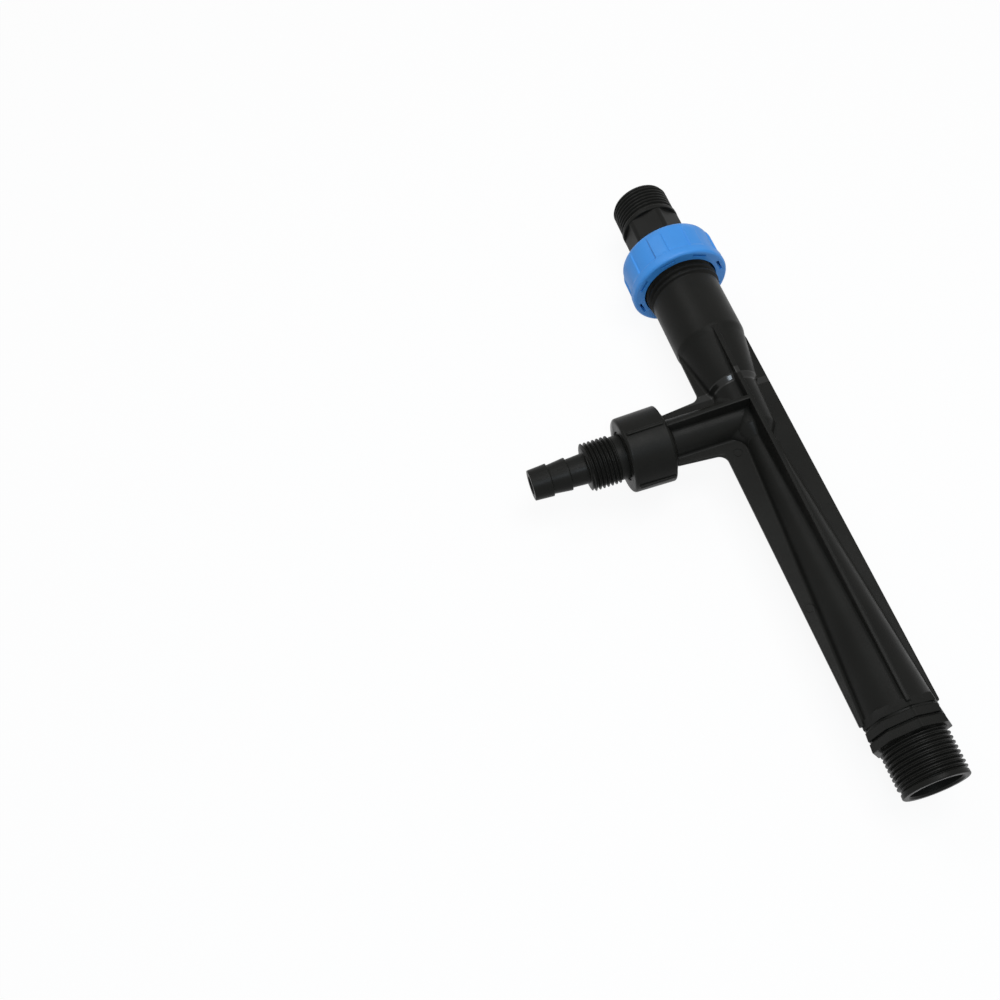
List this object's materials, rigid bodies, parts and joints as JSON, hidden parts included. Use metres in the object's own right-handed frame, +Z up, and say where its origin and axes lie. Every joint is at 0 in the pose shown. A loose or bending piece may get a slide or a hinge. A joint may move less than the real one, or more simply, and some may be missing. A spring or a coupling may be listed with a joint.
{
  "type": "venturi fertilizer injector",
  "caption": "In-line venturi injector: ribbed tapering body, union nut and threaded tail at the inlet, threaded outlet, and a side branch with a hose barb that sucks in liquid feed.",
  "frame": {"origin": "centre of the inlet's end face, on the flow axis", "axes": "+X along the flow from inlet to outlet, +Z up, the suction branch points to -Y"},
  "size_m": [0.2957, 0.1193, 0.045],
  "materials": {
    "black_plastic": "satin moulded black plastic",
    "blue_plastic": "satin moulded blue plastic",
    "ring_rubber": "smooth black rubber",
    "ball_plastic": "polished white plastic",
    "spring_steel": "drawn stainless wire"
  },
  "bodies": {
    "injector": {"body": "black_plastic", "jet_nozzle": "black_plastic", "nozzle_o_ring": "ring_rubber", "suction_adapter": "black_plastic", "suction_o_ring": "ring_rubber", "check_spring": "spring_steel"},
    "inlet_tail": {"inlet_adapter": "black_plastic", "flange_o_ring": "ring_rubber"},
    "nut": {"union_nut": "blue_plastic"},
    "ball": {"check_ball": "ball_plastic"}
  },
  "joints": [
    {"name": "tail_slide", "type": "slide", "parent": "injector", "child": "inlet_tail", "axis": [1, 0, 0], "range_m": [-0.0106, 0]},
    {"name": "nut_turn", "type": "hinge", "parent": "inlet_tail", "child": "nut", "pos_m": [0.0432, 0, 0], "axis": [1, 0, 0], "range_deg": [-1260, 0]},
    {"name": "ball_lift", "type": "slide", "parent": "injector", "child": "ball", "axis": [0, 1, 0], "range_m": [0, 0.003], "stiffness_N_per_m": 40, "springref_m": -0.0015, "deforming": ["check_spring"]}
  ],
  "couplings": [
    {"joint": "tail_slide", "follows": "nut_turn", "m_per_rad": 0.00047746}
  ]
}
